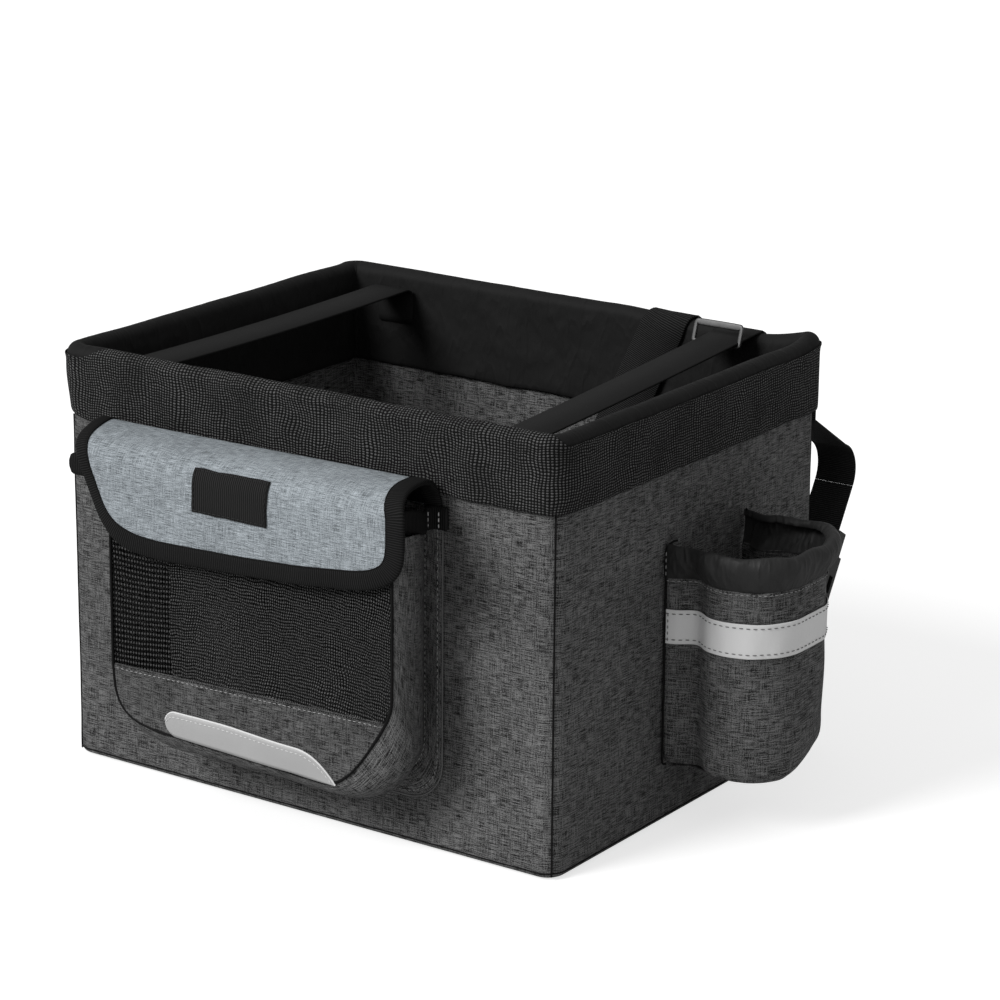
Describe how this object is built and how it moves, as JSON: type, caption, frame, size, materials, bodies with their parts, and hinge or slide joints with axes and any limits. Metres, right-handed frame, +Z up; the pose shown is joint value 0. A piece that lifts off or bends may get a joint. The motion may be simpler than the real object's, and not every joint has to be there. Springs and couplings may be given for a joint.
{
  "type": "dog bicycle basket",
  "caption": "Soft rectangular pet basket for a bicycle handlebar, with padded collar, net front pocket under a flap, side bottle pocket and straps.",
  "frame": {"origin": "middle of the flat underside of the basket's box, which leaves out the pockets and straps", "axes": "+Z up; -Y faces the front pocket; +Y faces the handlebar; +X is the side with the bottle pocket"},
  "size_m": [0.4053, 0.3765, 0.2433],
  "materials": {
    "melange_cloth": "matte melange weave",
    "lining_cloth": "matte melange weave",
    "stiffener_board": "plain",
    "collar_cloth": "coarse dotted weave",
    "black_nylon": "smooth, slightly crinkled",
    "black_webbing": "ribbed webbing",
    "pad_cloth": "soft plush",
    "flap_cloth": "matte melange weave",
    "net": "open net",
    "reflective": "satin, retroreflective",
    "hook_and_loop": "fuzzy",
    "steel": "satin",
    "buckle_plastic": "fine grain"
  },
  "bodies": {
    "basket": {"shell_front_panel": "melange_cloth", "board_front": "stiffener_board", "lining_front": "lining_cloth", "shell_back_panel": "melange_cloth", "board_back": "stiffener_board", "lining_back": "lining_cloth", "shell_left_panel": "melange_cloth", "board_left": "stiffener_board", "lining_left": "lining_cloth", "shell_right_panel": "melange_cloth", "board_right": "stiffener_board", "lining_right": "lining_cloth", "shell_base_panel": "melange_cloth", "board_base": "stiffener_board", "lining_base": "lining_cloth", "collar_outer": "collar_cloth", "collar_facing": "black_nylon", "rim_rod": "steel", "floor_pad": "pad_cloth", "pocket_gusset": "melange_cloth", "pocket_lower_panel": "melange_cloth", "pocket_net_window": "net", "pocket_mouth_binding": "black_webbing", "pocket_reflector": "reflective", "pocket_loop_strip": "hook_and_loop", "flap_root": "flap_cloth", "bottle_pocket": "melange_cloth", "bottle_pocket_ruffle": "black_nylon", "bottle_pocket_band": "reflective", "left_strap": "black_nylon", "right_strap": "black_nylon", "tether_webbing": "black_webbing", "head_tube_strap": "black_webbing", "handlebar_strap_left": "black_webbing", "handlebar_strap_tail_left": "black_webbing", "handlebar_strap_anchor_left": "black_webbing", "buckle_socket_left": "buckle_plastic", "handlebar_strap_right": "black_webbing", "handlebar_strap_tail_right": "black_webbing", "handlebar_strap_anchor_right": "black_webbing", "buckle_socket_right": "buckle_plastic"},
    "flap": {"flap_panel": "flap_cloth", "flap_binding": "black_webbing", "flap_patch": "black_webbing", "flap_hook_strip": "hook_and_loop"},
    "slider": {"strap_slider": "steel"},
    "left_plug": {"buckle_plug_left": "buckle_plastic"},
    "right_plug": {"buckle_plug_right": "buckle_plastic"}
  },
  "joints": [
    {"name": "flap_hinge", "type": "hinge", "parent": "basket", "child": "flap", "pos_m": [0, -0.15, 0.2095], "axis": [-1, 0, 0], "range_deg": [0, 120]},
    {"name": "strap_slide", "type": "slide", "parent": "basket", "child": "slider", "axis": [-0.1163, -0.9839, -0.1361], "range_m": [0, 0.04]},
    {"name": "left_plug_slide", "type": "slide", "parent": "basket", "child": "left_plug", "axis": [0, 0.5215, 0.8533], "range_m": [0, 0.018], "deforming": ["handlebar_strap_tail_left"]},
    {"name": "right_plug_slide", "type": "slide", "parent": "basket", "child": "right_plug", "axis": [0, 0.5215, 0.8533], "range_m": [0, 0.018], "deforming": ["handlebar_strap_tail_right"]}
  ]
}
